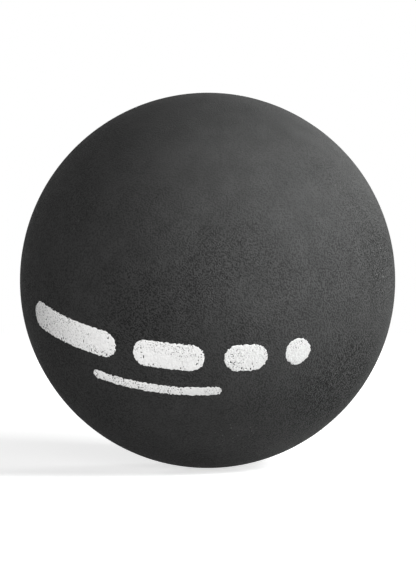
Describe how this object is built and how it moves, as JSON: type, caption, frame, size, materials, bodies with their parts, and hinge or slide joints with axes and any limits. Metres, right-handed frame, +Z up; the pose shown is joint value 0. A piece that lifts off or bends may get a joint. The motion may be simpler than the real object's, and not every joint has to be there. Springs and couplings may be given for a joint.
{
  "type": "squash ball",
  "caption": "Small hollow rubber ball for a racket sport, made of moulded half shells cemented rim to rim, with a plain printed row on its front.",
  "frame": {"origin": "centre of the ball", "axes": "+Y runs from the printed front half through the seam plane into the rear half, +Z is up as pictured, +X is to the right of the printed front"},
  "size_m": [0.04, 0.04, 0.04],
  "materials": {
    "ball_rubber": "buffed matt rubber",
    "rubber_cement": "cured rubber cement",
    "print_ink": "matt pad-printed ink"
  },
  "bodies": {
    "root": {"front_half_shell": "ball_rubber", "rear_half_shell": "ball_rubber", "seam_cement": "rubber_cement", "printed_mark": "print_ink"}
  },
  "joints": []
}
